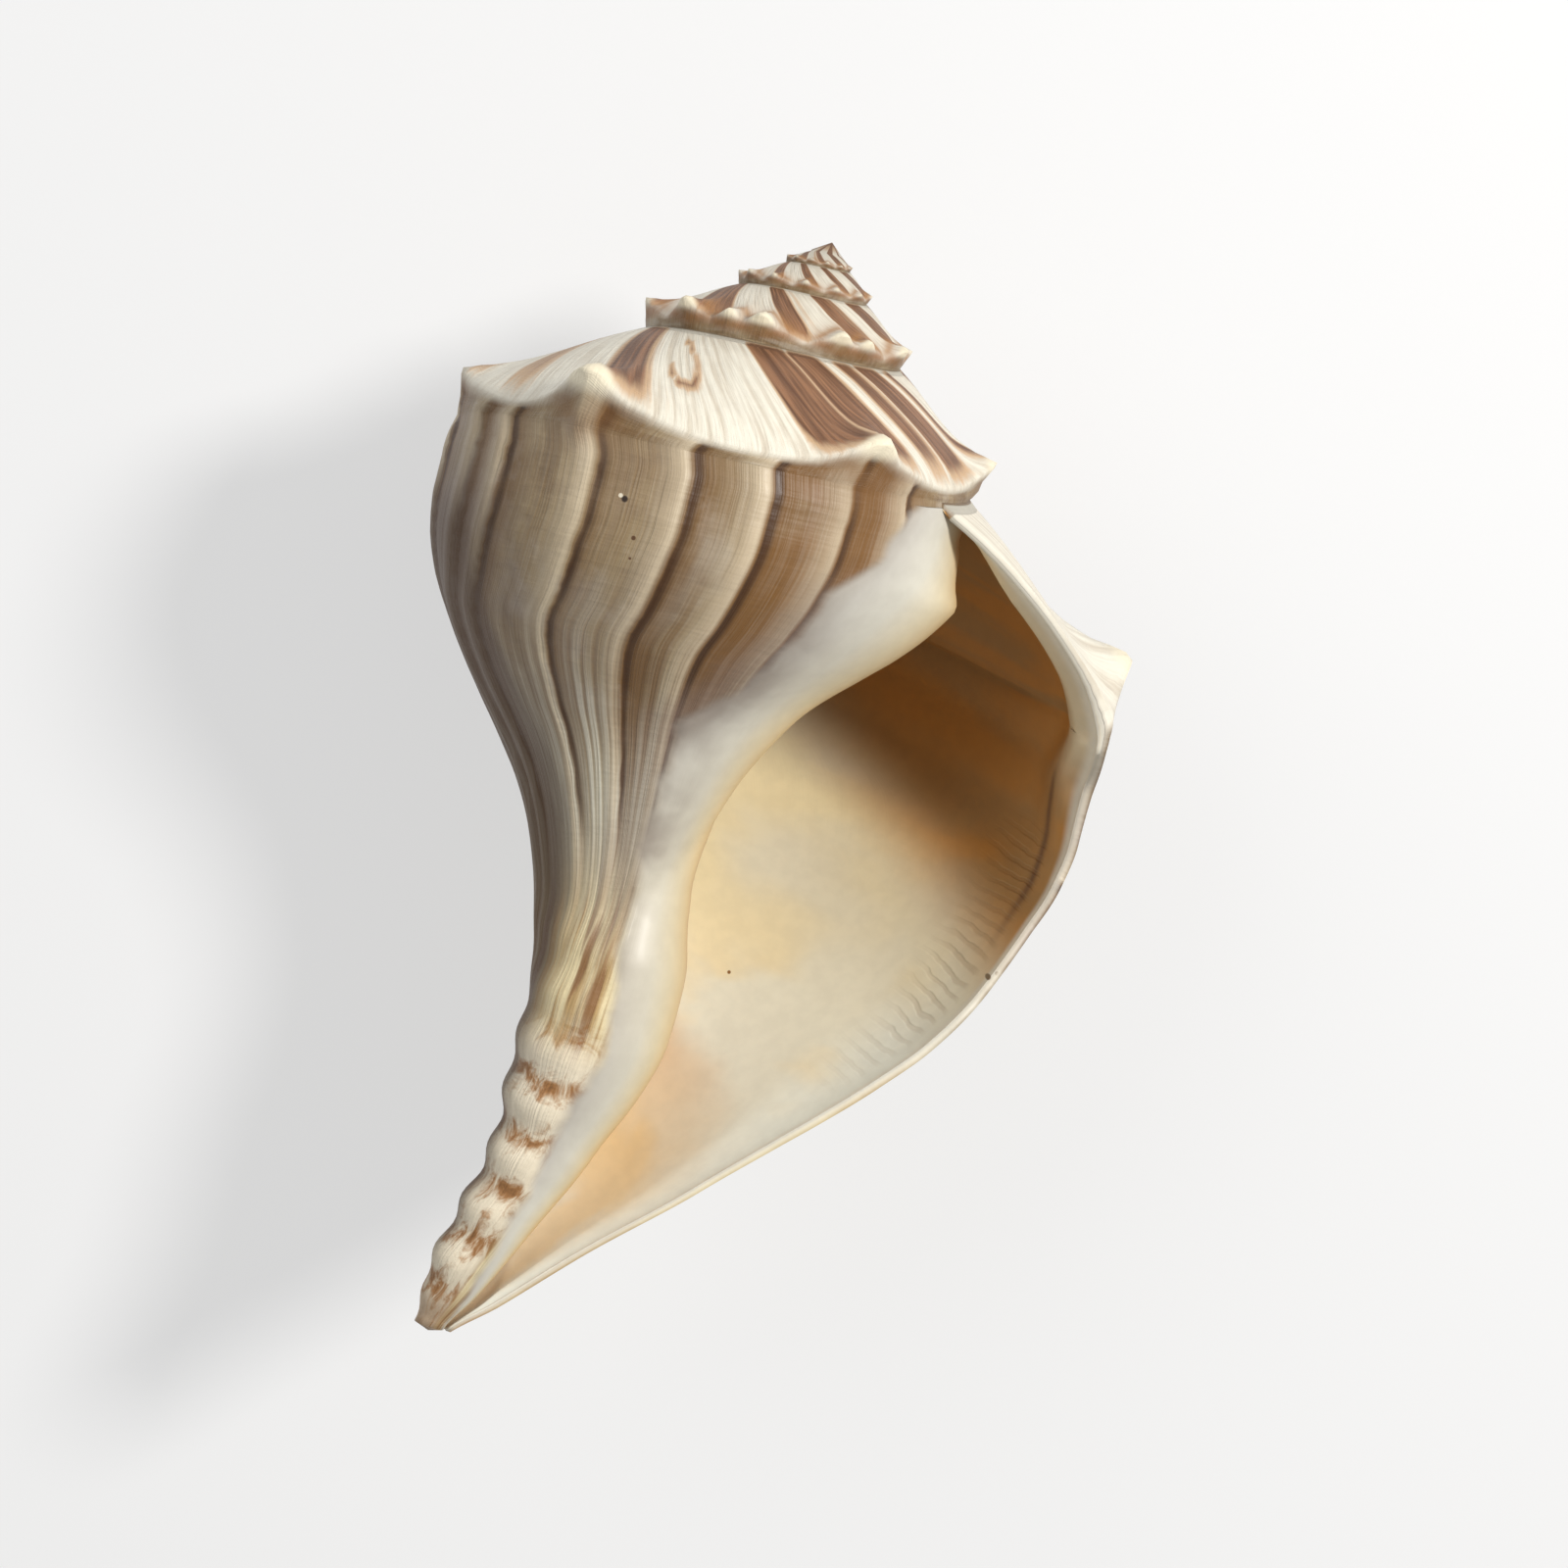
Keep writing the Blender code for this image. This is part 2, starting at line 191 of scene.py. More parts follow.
# The glaze that the animal laid over the last turn before the mouth: its thickness, and its left edge as
# (depth, angle)
GLAZE_STEP = 0.35
GLAZE_EDGE = (
    (29.0, 38.0), (34.8, 46.5), (39.8, 51.0), (43.5, 54.5), (46.6, 59.5), (50.8, 62.5), (55.0, 64.5),
    (61.6, 68.0), (68.5, 77.0), (74.0, 91.0), (83.0, 96.5), (93.3, 99.0), (104.0, 95.5), (111.8, 87.5),
    (123.8, 80.0), (132.0, 84.0), (138.2, 87.0), (150.4, 86.0), (155.7, 73.0), (164.5, 50.0), (170.0, 40.0),
)

# Flames on the slope, as (growth line from, to, darkness); the spire's are waves. One mark is a small hook:
# part of a ring, as (growth line, along), with its half widths, stroke and darkness
FLAMES = (
    (14.0, 26.0, 0.8), (30.0, 38.0, 0.6), (47.0, 58.5, 0.85), (62.0, 76.0, 0.95), (117.0, 128.0, 0.7),
    (152.0, 160.0, 0.4), (176.0, 190.0, 0.7), (214.0, 232.0, 0.8), (262.0, 275.0, 0.7), (300.0, 318.0, 0.8),
)
SPIRE_FLAME = 0.85
HOOK_LINE = 104.0
HOOK_ALONG = 0.28
HOOK_WIDE = 4.6
HOOK_LONG = 0.16
HOOK_STROKE = 0.2
HOOK_LEVEL = 0.55

# Small pits and specks, as (millimetres right of the axis, depth, radius, whether in the mouth, colour)
MARKS = (
    (-15.5, 44.9, 0.45, False, (46, 30, 18)), (-16.2, 44.6, 0.3, False, (222, 212, 190)),
    (-12.6, 49.7, 0.32, False, (88, 62, 40)), (-12.2, 52.6, 0.2, False, (98, 72, 50)),
    (19.5, 108.5, 0.26, True, (132, 92, 50)), (55.9, 95.3, 0.4, True, (124, 104, 82)),
    (57.0, 94.4, 0.3, True, (136, 116, 92)),
)

# What the colours need to know about each vertex: see outside() and inside()
FACTS = (
    "line", "along", "angle", "depth", "knob", "glaze", "mouth", "lip", "inward", "crease", "across", "down",
    "front", "stripe",
)

# Colours as they look on screen, from 0 to 255
COLOURS = {
    "side brown": (114, 87, 52), "side grey": (158, 139, 108),
    "streak cream": (204, 190, 160), "streak brown": (108, 80, 48),
    "patch grey": (170, 159, 142), "patch brown": (112, 84, 50),
    "blotch grey": (192, 182, 168), "blotch brown": (104, 82, 60),
    "ochre": (116, 78, 34), "painted back shade": (88, 66, 42), "violet grey": (156, 148, 146),
    "hair cream": (228, 220, 204), "thread brown": (92, 74, 54),
    "waist grey": (182, 173, 150), "waist cream": (222, 218, 200), "gather brown": (104, 74, 42),
    "welt cream": (208, 193, 166), "rest brown": (112, 78, 38), "rest dark": (66, 40, 16),
    "canal tan": (176, 146, 98), "canal cream": (222, 206, 164),
    "canal brown": (124, 82, 42), "canal streak": (150, 112, 68),
    "lump cream": (226, 214, 190), "lump tan": (160, 114, 68), "lump brown": (112, 76, 44),
    "left side brown and shade": (76, 52, 30), "tip tan": (150, 108, 66),
    "slope grey": (200, 190, 172), "slope cream": (224, 219, 204), "slope hair": (176, 158, 134),
    "flame edge": (184, 142, 96), "flame brown": (140, 98, 68), "flame dark": (88, 54, 34),
    "painted knob underside shade": (116, 80, 42), "above knob": (164, 116, 66),
    "pale knob tip and highlight": (232, 222, 196), "joint tan": (150, 100, 54),
    "beside glaze": (126, 108, 98), "glaze violet": (134, 122, 112),
    "painted hollow shade": (156, 98, 44), "column cream": (188, 176, 148),
    "wall yellow": (224, 207, 164), "wall cream": (216, 206, 178),
    "lower cream": (238, 219, 180), "lower green": (232, 228, 208),
    "painted_shade": (190, 126, 50), "painted shade brown": (168, 122, 66),
    "lip pale": (236, 238, 226), "upper cream": (222, 210, 180), "rim cream": (230, 226, 212),
    "lip purple": (98, 66, 52), "tooth brown": (134, 100, 66),
    "painted crease shade yellow": (222, 178, 104), "painted crease shade orange": (204, 144, 66), "grain": (90, 76, 62),
}

# The glaze from its outer edge in to the hollow, as (share of the way, colour); its last stops, darkening to
# orange brown inside the hollow, are painted shade
GLAZE_STOPS = (
    (0.0, (174, 168, 158)), (0.07, (192, 188, 178)), (0.22, (204, 200, 186)), (0.36, (212, 199, 168)),
    (0.5, (218, 190, 140)), (0.68, (204, 152, 94)), (1.0, (146, 92, 44)),
)


def smooth_step(x, low, high):
    t = np.clip((x - low) / (high - low), 0.0, 1.0)
    return t * t * (3.0 - 2.0 * t)


def plateau(x, low, full_from, full_to, high):
    """1 from full_from to full_to, falling smoothly to nothing at low and high."""
    return smooth_step(x, low, full_from) * (1.0 - smooth_step(x, full_to, high))


def curve(x, knots):
    """A smooth curve through the knots that never overshoots them, at x."""
    at, value = np.array(knots, float).T
    step = np.diff(at)
    slope = np.diff(value) / step
    tangent = np.concatenate(([slope[0]], np.zeros(len(at) - 2), [slope[-1]]))
    same_way = slope[:-1] * slope[1:] > 0
    tangent[1:-1][same_way] = 2.0 / (1.0 / slope[:-1][same_way] + 1.0 / slope[1:][same_way])
    x = np.clip(x, at[0], at[-1])
    k = np.clip(np.searchsorted(at, x, side="right") - 1, 0, len(step) - 1)
    t = (x - at[k]) / step[k]
    rise = value[k] * (1 + 2 * t) * (1 - t) ** 2 + value[k + 1] * t * t * (3 - 2 * t)
    return rise + step[k] * t * (1 - t) * (tangent[k] * (1 - t) - tangent[k + 1] * t)


SLOPE_DEPTHS = tuple((row, depth) for row, (depth, radius) in enumerate(SLOPE))
SLOPE_RADII = tuple((row, radius) for row, (depth, radius) in enumerate(SLOPE))


def growth(angle):
    """The size of the whorl at an angle, against its size at the lip."""
    return GROWTH_PER_TURN ** (angle / 360.0 - 1.0)


def side_radius(angle, depth):
    """The radius of the side, base and canal at a depth."""
    size = growth(angle)
    in_canal = np.clip((depth - CANAL_TOP) / (LENGTH - CANAL_TOP), 0.0, 1.0)
    on_outline = depth / size ** (1.0 - in_canal)
    at_flare = np.exp(-(((on_outline - LIP_FLARE_DEPTH) / LIP_FLARE_WIDTH) ** 2))
    flare = LIP_FLARE * smooth_step(angle, 250.0, 360.0) * at_flare
    whorl = size * (curve(on_outline, SIDE) + flare)
    column = curve(depth, COLUMN) * smooth_step(on_outline, 60.0, 90.0)
    return np.hypot(whorl, column)


def knob_height(angle):
    """How large a knob is at an angle: full on the tip, with a lower arm back along the shoulder."""
    first = KNOBS[-1][0] + SPIRE_KNOB_SPACING
    small = np.arange(first, TURNS * 360.0, SPIRE_KNOB_SPACING)
    back, sizes = np.array(KNOBS + tuple((b, SPIRE_KNOB_SIZE) for b in small)).T
    ahead = np.subtract.outer(np.asarray(angle, float), LIP_ANGLE - back)
    width = KNOB_WIDTH * np.sqrt(np.minimum(sizes, 1.0))
    tip = sizes * np.exp(-((np.abs(ahead) / width) ** KNOB_SHAPE))
    arm_width = np.where(ahead > 0.0, KNOB_WIDTH, KNOB_ARM_LENGTH)
    arm = KNOB_ARM * np.minimum(sizes, 1.0) * np.exp(-((ahead / arm_width) ** 2))
    return np.maximum(tip, arm).max(axis=-1)


def ridge_height(angle, depth):
    """The lumpy ridge along the left of the canal."""
    across = np.exp(-(((angle - RIDGE_ANGLE) / RIDGE_HALF_WIDTH) ** 4))
    tip_fade = 1.0 - smooth_step(depth, LENGTH - 9.0, LENGTH)
    along_canal = smooth_step(depth, RIDGE_TOP, RIDGE_FULL) * tip_fade
    lumps = LUMP_HEIGHT * np.cos(2.0 * math.pi * (depth + LUMP_SLANT * angle) / LUMP_SPACING)
    return across * along_canal * (RIDGE_HEIGHT + lumps)


def lead(along):
    """How far in degrees a point runs ahead of the shoulder along one growth line."""
    row = np.minimum(along, 1.0) * SUTURE_ROW
    on_slope = SUTURE_LEAD * np.clip(1.0 - row / SHOULDER_ROW, 0.0, 1.0) ** 1.5
    return np.where(along < 1.0, on_slope, curve(np.maximum(along - 1.0, 0.0), SIDE_LEAD))


def growth_line(angle, along):
    """The angle at the shoulder of the growth line through a point."""
    sway = curve(np.maximum(along - 1.0, 0.0), STOP_SWAY)
    reach = np.clip(0.7 + 0.009 * (angle - 85.0), 0.5, 1.5)
    on_slope = angle - lead(np.minimum(along, 0.999))
    to_the_side = STOP_SWAY[0][1] * reach * smooth_step(along, 0.7, 1.0)
    return np.where(along < 1.0, on_slope - to_the_side, angle - sway * reach)


def glaze_reach(angle, depth, radius):
    """How far a point lies inside the glaze's edge, in millimetres; less than nothing outside it."""
    edge = curve(depth, GLAZE_EDGE) + 0.8 * np.sin(depth * 0.55) + 0.5 * np.sin(depth * 1.3 + 1.0)
    return (edge - angle) * math.pi / 180.0 * np.maximum(radius, 6.0)


def stop_relief(line, along):
    """The steps that rests in the growth leave: a welt, then a groove that opens out again."""
    height = np.zeros(np.broadcast(line, along).shape)
    for n, stop in enumerate(GROWTH_STOPS):
        past = stop - line
        welt = WELT * np.exp(-(((past + WELT_AHEAD) / WELT_WIDTH) ** 2))
        groove = np.where(past > -0.6, -np.exp(-np.maximum(past, 0.0) / GROOVE_LENGTH), 0.0)
        strength = STOP_STRENGTHS[n % len(STOP_STRENGTHS)]
        height = height + strength * (welt + groove * smooth_step(past, -0.9, 0.6))
    down = along - 1.0
    fade = smooth_step(down, -0.26, -0.12) * (1.0 - smooth_step(down, 0.36, 0.62))
    return STOP_HEIGHT * fade * height


def pad_height(angle, depth):
    """The thickness of the glaze's pad, full at the inner lip and thin before and behind it."""
    before = smooth_step(-angle, -PAD_BEFORE[0], -PAD_BEFORE[1])
    behind = smooth_step(-angle, -PAD_BEHIND[0], -PAD_BEHIND[1])
    return curve(depth, PAD) * before * (1.0 - behind)


def bare_outline(angle, along):
    """Depth and radius of the smooth outside."""
    size = growth(angle)
    row = np.clip(along, 0.0, 1.0) * SUTURE_ROW
    top = size * SLOPE[-1][0]
    side_depth = top + (LENGTH - top) * np.maximum(along - 1.0, 0.0)
    depth = np.where(along <= 1.0, size * curve(row, SLOPE_DEPTHS), side_depth)
    radius = np.where(along <= 1.0, size * curve(row, SLOPE_RADII), side_radius(angle, side_depth))
    return depth, radius


def knob_share(angle, along, depth):
    """How much of a knob shows at a point, and how far it also leans towards the spire."""
    row = np.minimum(along, 1.0) * SUTURE_ROW
    size = growth(angle)
    above = curve(row, KNOB_SHARES)
    fade = np.exp(-np.maximum(depth / size - SLOPE[SHOULDER_ROW][0], 0.0) / KNOB_FADE_LENGTH)
    below = KNOB_FADE * fade * smooth_step(angle, 0.0, 40.0)
    near = np.clip(row - (SHOULDER_ROW + 1), 0.0, 1.0)
    share = np.where(row <= SHOULDER_ROW + 1, above, 0.5 * (1.0 - near) + below * near)
    share = np.where(along > 1.0, below, share)
    return share, np.where(along > 1.0, 0.0, 1.0 - near)


def place(angle, depth, radius):
    """The point at an angle, depth and radius, in millimetres, before the shell is laid down."""
    turn = np.radians(angle)
    x = radius * np.cos(turn) + curve(depth, BEND)
    return np.stack(np.broadcast_arrays(x, -depth, radius * np.sin(turn)), axis=-1)


def seen_from_front(points, facts):
    """The points, and their facts with where each lies as the mouth faces the viewer."""
    facts["across"], facts["down"] = points[..., 0], -points[..., 1]
    facts["front"] = (points[..., 2] > 0.0) | (facts["mouth"] > 0.5)
    return points, facts


def outside(angle, along):
    """Points of the outside and what the colours need to know about them."""
    along = np.full(np.shape(angle), float(along))
    size = growth(angle)
    depth, radius = bare_outline(angle, along)
    share, leaning = knob_share(angle, along, depth)
    knob = share * knob_height(angle)
    glaze = glaze_reach(angle, depth, radius)
    bare = 1.0 - smooth_step(glaze, -0.5, 1.0) * (along > 0.9)
    line = growth_line(angle, along)
    depth = depth - KNOB_UP * size * np.minimum(knob, KNOB_UP_LIMIT) * leaning
    radius = radius + KNOB_OUT * size * knob
    last_turn = smooth_step(angle, 20.0, 50.0) * (1.0 - smooth_step(line, 322.0, 340.0))
    relief = stop_relief(line, along) * last_turn
    in_side = along >= 1.0
    ridge = np.where(in_side, ridge_height(angle, depth), 0.0)
    radius = radius + (size * relief + ridge) * bare + GLAZE_STEP * (1.0 - bare) * (angle > 0.0)
    radius = radius + np.where(in_side, pad_height(angle, depth), 0.0)
    facts = {
        "line": line, "along": along, "angle": angle, "depth": depth, "knob": knob / 0.8,
        "glaze": np.where(along > 1.0, glaze, -20.0),
        "mouth": np.zeros_like(angle), "lip": (LIP_ANGLE + lead(along) - angle) * size,
        "inward": 1.0 - angle / np.maximum(curve(depth, GLAZE_EDGE), 20.0),
        "crease": np.full_like(angle, 99.0),
    }
    return seen_from_front(place(angle, depth, radius), facts)


def inside(angle, along, wall):
    """Points of the hollow's outer wall, one wall's thickness in from the smooth outside."""
    along = np.full(np.shape(angle), float(along))
    above = bare_outline(angle, np.maximum(along - 0.01, 0.0))
    below = bare_outline(angle, np.minimum(along + 0.01, 2.0))
    down, out = below[0] - above[0], below[1] - above[1]
    long = np.hypot(down, out)
    depth, radius = bare_outline(angle, along)
    core = side_radius(angle - 360.0, depth)
    wall = np.where(along > 1.0, np.minimum(wall, 0.5 * (radius - core)), wall)
    square_on = 1.0 - smooth_step(depth, 120.0, 150.0)
    from_lip = (LIP_ANGLE + lead(along) - angle) * growth(angle)
    wall = wall + LIP_ROLL * plateau(from_lip, *ROLL_FROM_LIP) * plateau(along, *ROLL_ALONG)
    inner_depth = depth + wall * out / long * square_on
    inner_radius = radius - wall * np.hypot(down / long, out / long * (1.0 - square_on))
    facts = {
        "line": growth_line(angle, along), "along": along, "angle": angle, "depth": depth,
        "knob": np.zeros_like(angle), "glaze": np.full_like(angle, 20.0), "mouth": np.ones_like(angle),
        "lip": from_lip, "inward": np.full_like(angle, 2.0),
        "crease": (angle - angle[..., :1]) * math.pi / 180.0 * inner_radius,
    }
    return seen_from_front(place(angle, np.minimum(inner_depth, LENGTH), inner_radius), facts)


def hollow_start(along):
    """The angle at which the hollow begins: where the whorl first stands clear of the column."""
    if along <= 1.0:
        return HOLLOW_START
    angles = np.arange(HOLLOW_START, LIP_ANGLE - 60.0, 0.25)
    depth, radius = bare_outline(angles, np.full(angles.shape, along))
    shut = np.nonzero(radius - side_radius(angles - 360.0, depth) < NARROWEST_HOLLOW)[0]
    return angles[min(shut[-1] + 1, len(angles) - 1)] if len(shut) else HOLLOW_START


class Body:
    """Vertices, faces and facts of the shell, gathered sheet by sheet."""

    def __init__(self):
        self.points = []
        self.faces = []
        self.facts = {}

    def add(self, made):
        """Adds points with their facts and returns their numbers."""
        points, facts = made
        first = len(self.points)
        self.points.extend(map(tuple, points))
        for name, values in facts.items():
            self.facts.setdefault(name, []).extend(values)
        return list(range(first, len(self.points)))

    def sheet(self, rows):
        """Faces between neighbouring rows of vertex numbers; rows hold as many vertices each."""
        for upper, lower in zip(rows[:-1], rows[1:]):
            for k in range(len(upper) - 1):
                face = [upper[k], upper[k + 1], lower[k + 1], lower[k]]
                face = [v for n, v in enumerate(face) if v not in face[:n]]
                if len(face) > 2:
                    self.faces.append(face)

    def zip(self, left, right):
        """Triangles between two chains that may hold different numbers of vertices."""
        a = b = 0
        while a < len(left) - 1 or b < len(right) - 1:
            left_is_behind = (a + 1) * (len(right) - 1) <= (b + 1) * (len(left) - 1)
            on_left = b == len(right) - 1 or (a < len(left) - 1 and left_is_behind)
            face = [left[a], right[b], left[a + 1] if on_left else right[b + 1]]
            if len(set(face)) == 3:
                self.faces.append(face)
            a, b = (a + 1, b) if on_left else (a, b + 1)

    def fan(self, centre, ring):
        """Triangles from one vertex to each edge of a chain."""
        for here, there in zip(ring[:-1], ring[1:]):
            self.faces.append([centre, here, there])


def shell_body():
    """All of the shell's surface, as one closed body."""
    body = Body()
    places = list(np.linspace(0.0, 1.0, SLOPE_ROWS + 1))
    places += list(1.0 + np.linspace(0.0, 1.0, SIDE_ROWS + 1)[1:])
    suture = SLOPE_ROWS
    last = SLOPE_ROWS + SIDE_ROWS
    count = round(TURNS * SECTIONS_PER_TURN)
    shift = SECTIONS_PER_TURN - round(SUTURE_LEAD / SECTION_STEP)
    angles = LIP_ANGLE - SECTION_STEP * np.arange(count, -1, -1)
    bared = count - shift  # the section from which the side is no longer covered by the next turn
    leads = [float(lead(np.array(p))) for p in places]

    # The outside: rows from suture to suture on every turn, and on down to the tip on the last
    grid = {}
    for row in range(last + 1):
        first = 0 if row <= suture else bared
        found = body.add(outside(angles[first:] + leads[row], places[row]))
        grid[row] = dict(zip(range(first, count + 1), found))
    for section in range(shift, count + 1):
        grid[0][section] = grid[suture][section - shift]
    for row in range(last):
        first = 0 if row < suture else bared
        span = range(first, count + 1)
        body.sheet([[grid[row][s] for s in span], [grid[row + 1][s] for s in span]])

    # The hollow: its inner wall on the turn before and on the column, and its outer wall, finer at the lip
    starts = np.maximum.accumulate([hollow_start(p) for p in places])
    share = np.linspace(0.0, 1.0, INNER_STEPS + 1)
    inner = {}
    for row in range(suture + 1, last + 1):
        stop = angles[bared] + leads[row]
        turned = starts[row] - 360.0
        found = body.add(outside(turned + (stop - turned) * share[:-1], places[row]))
        inner[row] = found + [grid[row][bared]]
    share = 1.0 - np.linspace(1.0, 0.0, HOLLOW_STEPS + 1) ** LIP_DETAIL
    wall = WALL + (LIP_WALL - WALL) * smooth_step(share, LIP_THINS_FROM, 1.0)
    outer = {}
    for row in range(1, last + 1):
        stop = LIP_ANGLE + leads[row]
        outer[row] = body.add(inside(starts[row] + (stop - starts[row]) * share, places[row], wall))
    body.sheet([inner[row] for row in range(suture + 1, last + 1)])
    body.sheet([outer[row] for row in range(1, last + 1)])
    body.zip(outer[1], inner[suture + 1])

    # The edge of the lip, and the far end of the hollow
    edge = [grid[row][count] for row in range(1, last + 1)]
    body.sheet([edge, [outer[row][-1] for row in range(1, last + 1)]])
    body.faces.append([grid[0][count], grid[1][count], outer[1][-1]])
    body.faces.append([grid[0][count], outer[1][-1], inner[suture + 1][-1]])
    far_end = [inner[row][0] for row in range(suture + 1, last + 1)]
    body.zip([outer[row][0] for row in range(1, last + 1)], far_end)

    # The tip of the canal
    tip_facts = {name: [values[grid[last][count]]] for name, values in body.facts.items()}
    tip = body.add((place(0.0, LENGTH + TIP_BEYOND, 0.0)[None], tip_facts))[0]
    rim = [grid[last][s] for s in range(bared, count + 1)]
    meets = int(round((starts[last] - angles[bared] - leads[last]) / SECTION_STEP))
    body.fan(tip, inner[last][:-1] + rim[: meets + 1] + [outer[last][0], inner[last][0]])
    body.zip(rim[meets:], outer[last])

    # The apex
    apex_facts = {name: [values[grid[0][0]]] for name, values in body.facts.items()}
    top = 0.25 * growth(angles[0]) * SLOPE[0][0]
    apex = body.add((place(0.0, top, 0.0)[None], apex_facts))[0]
    first_turn = [grid[0][s] for s in range(shift + 1)]
    body.fan(apex, first_turn + [grid[row][0] for row in range(suture - 1, -1, -1)])
    return body


def rest_on_back(points):
    """The points turned and moved to where the CAD's shell lies, in metres."""
    turn = Euler((math.radians(REST_PITCH), math.radians(REST_ROLL), 0.0)).to_matrix()
    return (points @ np.array(turn).T - REST_SHIFT) * MM


def srgb(red, green, blue):
    """A colour as it looks on screen, from 0 to 255, as the renderer wants it."""
    parts = [c / 255.0 for c in (red, green, blue)]
    return tuple(c / 12.92 if c <= 0.04045 else ((c + 0.055) / 1.055) ** 2.4 for c in parts) + (1.0,)


class Nodes:
    """Short names for the nodes that a material is made of. A colour is named as in COLOURS."""

    def __init__(self, tree):
        self.tree = tree

    def put(self, kind, inputs, **settings):
        node = self.tree.nodes.new(kind)
        for name, value in settings.items():
            setattr(node, name, value)
        for name, value in inputs.items():
            if isinstance(value, bpy.types.NodeSocket):
                self.tree.links.new(value, node.inputs[name])
            else:
                node.inputs[name].default_value = value
        return node

    def fact(self, name):
        return self.put("ShaderNodeAttribute", {}, attribute_name=name).outputs["Fac"]

    def math(self, operation, *values):
        return self.put("ShaderNodeMath", dict(enumerate(values)), operation=operation).outputs[0]

    def plus(self, first, second):
        return self.math("ADD", first, second)

    def less(self, first, second):
        return self.math("SUBTRACT", first, second)

    def times(self, first, *others):
        """The product of all the values."""
        for other in others:
            first = self.math("MULTIPLY", first, other)
        return first

    def swayed(self, value, noise, amount):
        """The value, moved up or down as the noise is above or below its middle."""
        return self.plus(value, self.times(self.less(noise, 0.5), amount))

    def step(self, value, low, high, at_low=0.0, at_high=1.0):
        inputs = {"Value": value, "From Min": low, "From Max": high, "To Min": at_low, "To Max": at_high}
        return self.put("ShaderNodeMapRange", inputs, interpolation_type="SMOOTHSTEP").outputs["Result"]

    def within(self, value, low, full_from, full_to, high):
        """1 from full_from to full_to, falling to nothing at low and high."""
        return self.times(self.step(value, low, full_from), self.step(value, high, full_to))

    def bell(self, value, middle, width):
        """1 at the middle, falling to nothing on both sides."""
        away = self.math("DIVIDE", self.less(value, middle), width)
        return self.math("POWER", 2.718, self.times(away, away, -1.0))

    def noise(self, vector, scale=1.0, detail=3.0, roughness=0.5, distortion=0.0):
        inputs = {"Vector": vector, "Scale": scale, "Detail": detail}
        inputs |= {"Roughness": roughness, "Distortion": distortion}
        return self.put("ShaderNodeTexNoise", inputs).outputs["Fac"]

    def stretched(self, first, first_scale, second, second_scale, layer=0.0, **settings):
        """Noise with its own scale along each of two facts; each layer is another pattern."""
        scaled = {"X": self.times(first, first_scale), "Y": self.times(second, second_scale), "Z": layer}
        return self.noise(self.put("ShaderNodeCombineXYZ", scaled).outputs[0], **settings)

    def ramp(self, value, stops):
        """A colour ramp; each stop is (position, grey level) or (position, colour)."""
        node = self.put("ShaderNodeValToRGB", {"Fac": value})
        elements = node.color_ramp.elements
        while len(elements) < len(stops):
            elements.new(0.5)
        for element, (position, level) in zip(elements, stops):
            element.position = position
        for element, (position, level) in zip(elements, stops):
            element.color = level if isinstance(level, tuple) else (level, level, level, 1.0)
        return node.outputs["Color"]

    def mix(self, factor, below, above):
        node = self.put("ShaderNodeMix", {}, data_type="RGBA")
        for index, value in ((0, factor), (6, below), (7, above)):
            if isinstance(value, str):
                value = srgb(*COLOURS[value])
            if isinstance(value, bpy.types.NodeSocket):
                self.tree.links.new(value, node.inputs[index])
            else:
                node.inputs[index].default_value = value
        return node.outputs[2]

    def between(self, value, low, high, first, second):
        """The first colour where the value is low, the second where it is high."""
        return self.mix(self.step(value, low, high), first, second)

    def tint(self, below, share, most, above):
        """The colour below, with at most so much of the other colour over it where the share is 1."""
        return self.mix(self.times(share, most), below, above)


def stop_ramps(n, line, shape):
    """A mark of one shape, as (degrees from the rest, level), at every rest in the growth."""
    marks = None
    for first in range(0, len(GROWTH_STOPS), STOPS_PER_RAMP):
        group = GROWTH_STOPS[first:first + STOPS_PER_RAMP]
        low, high = group[0] - RAMP_MARGIN, group[-1] + RAMP_MARGIN
        stops = []
        for k, stop in enumerate(group):
            level = STOP_LEVELS[(first + k) % len(STOP_LEVELS)]
            stops += [((stop + away - low) / (high - low), share * level) for away, share in shape]
        ramp = n.ramp(n.math("DIVIDE", n.less(line, low), high - low), stops)
        marks = ramp if marks is None else n.math("MAXIMUM", marks, ramp)
    return marks


def shared_noises(n, f):
    """The noises that several colours share, from broad streaks along the growth lines to fine grain."""
    spot = n.put("ShaderNodeTexCoord", {}).outputs["Object"]
    return SimpleNamespace(
        broad=n.stretched(f.line, 0.075, f.along, 1.1, detail=4.0),
        streak=n.stretched(f.line, 0.55, f.along, 2.2, layer=3.0),
        fine=n.stretched(f.line, 2.1, f.along, 7.0, layer=7.0, detail=2.0),
        patch=n.stretched(f.line, 0.05, f.along, 7.0, layer=17.0),
        uneven=n.stretched(f.line, 0.03, f.along, 9.0, layer=11.0),
        spiral=n.stretched(f.line, 0.09, f.along, 190.0, layer=2.0, detail=1.0),
        run=n.stretched(f.angle, 0.13, f.depth, 0.04, layer=5.0, detail=4.0, distortion=0.3),
        cloud=n.noise(spot, scale=45.0, detail=4.0, roughness=0.55),
        blotch=n.noise(spot, scale=85.0, detail=5.0, roughness=0.65),
        lumpy=n.noise(spot, scale=130.0, detail=4.0),
        grain=n.noise(spot, scale=420.0),
    )


